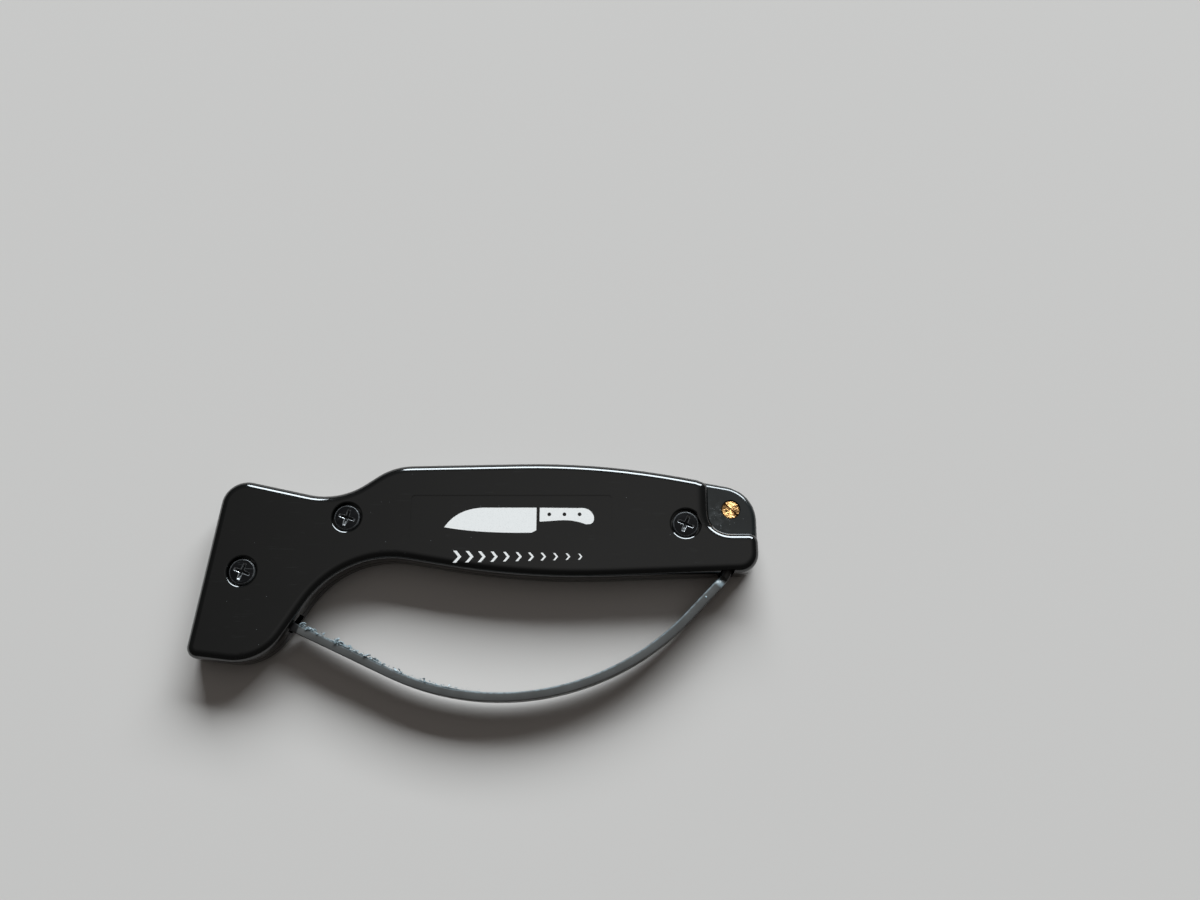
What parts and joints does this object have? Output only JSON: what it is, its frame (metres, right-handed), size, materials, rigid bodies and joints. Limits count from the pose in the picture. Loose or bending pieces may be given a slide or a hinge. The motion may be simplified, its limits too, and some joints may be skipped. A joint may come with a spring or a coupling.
{
  "type": "manual knife sharpener",
  "caption": "Pull-through hand knife sharpener: two-shell handle with a flared pommel, carbide V in a stepped nose clamped by a brass screw, and a bowed finger guard.",
  "frame": {"origin": "middle of the bounding box at the rear face, which the part lies on", "axes": "+X along the handle to the cutting nose, +Y across the handle away from the guard, +Z out of the front face"},
  "size_m": [0.14, 0.0593, 0.0095],
  "materials": {
    "shell_plastic": "glossy black moulded plastic",
    "guard_plastic": "satin dark grey moulded plastic",
    "block_plastic": "satin black moulded plastic",
    "carbide": "ground grey tungsten carbide",
    "screw_brass": "turned brass",
    "screw_black": "black oxide steel"
  },
  "bodies": {
    "handle": {"rear_shell": "shell_plastic", "front_shell": "shell_plastic", "cutter_block": "block_plastic", "carbide_upper": "carbide", "carbide_lower": "carbide", "clamp_nut": "screw_brass", "neck_screw": "screw_black", "pommel_screw": "screw_black", "nose_screw": "screw_black"},
    "guard": {"finger_guard": "guard_plastic"},
    "clamp": {"clamp_screw": "screw_brass"}
  },
  "joints": [
    {"name": "guard_swing", "type": "hinge", "parent": "handle", "child": "guard", "pos_m": [0.062, 0.007, 0.00475], "axis": [0, 0, 1], "range_deg": [-1, 0], "stiffness_Nm_per_rad": 0.5},
    {"name": "clamp_screw_turn", "type": "hinge", "parent": "handle", "child": "clamp", "pos_m": [0.0635, 0.0178, 0.00475], "axis": [0, 0, 1], "continuous": true}
  ]
}
